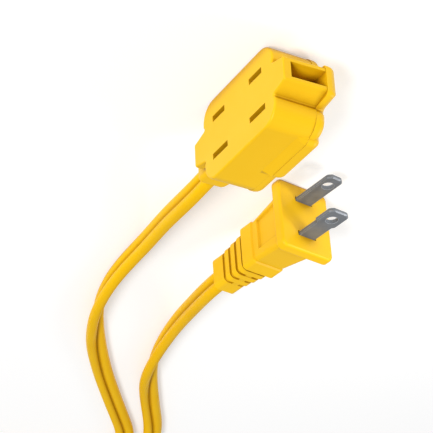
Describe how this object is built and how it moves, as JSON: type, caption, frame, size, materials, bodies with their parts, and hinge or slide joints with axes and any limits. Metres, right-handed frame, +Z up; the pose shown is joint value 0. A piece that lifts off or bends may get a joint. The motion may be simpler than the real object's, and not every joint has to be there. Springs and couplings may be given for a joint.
{
  "type": "household extension cord",
  "caption": "Yellow household extension cord: flat two-wire cord from a polarised blade plug to a small tap with outlets on its face and back.",
  "frame": {"origin": "on the floor under the middle of the tap, which lies on its long side", "axes": "+X along the tap towards its cord, -Y the way the outlet face looks, +Z up across the outlet rows"},
  "size_m": [0.4034, 0.1221, 0.0281],
  "materials": {
    "yellow_vinyl": "satin moulded vinyl",
    "yellow_jacket": "soft extruded vinyl",
    "spring_brass": "stamped, bright",
    "nickel_plate": "nickel plated, fine grain",
    "stranded_copper": "bare stranded copper",
    "white_nylon": "moulded nylon",
    "black_strap": "woven hook-and-loop"
  },
  "bodies": {
    "root": {"tap_front_housing": "yellow_vinyl", "tap_rear_cover": "yellow_vinyl", "tap_strain_relief": "yellow_vinyl", "hot_bus_strip": "spring_brass", "hot_clip_far": "spring_brass", "hot_clip_rear": "spring_brass", "hot_clip_near": "spring_brass", "neutral_bus_strip": "spring_brass", "neutral_clip_far": "spring_brass", "neutral_clip_rear": "spring_brass", "neutral_clip_near": "spring_brass", "tap_hot_conductor": "stranded_copper", "tap_neutral_conductor": "stranded_copper", "plug_body": "yellow_vinyl", "plug_strain_relief": "yellow_vinyl", "plug_blade_carrier": "white_nylon", "hot_blade": "nickel_plate", "neutral_blade": "nickel_plate", "plug_hot_conductor": "stranded_copper", "plug_neutral_conductor": "stranded_copper", "cord_run_tap": "yellow_jacket", "cord_run_plug": "yellow_jacket", "cord_coil": "yellow_jacket", "coil_tie": "black_strap"}
  },
  "joints": []
}
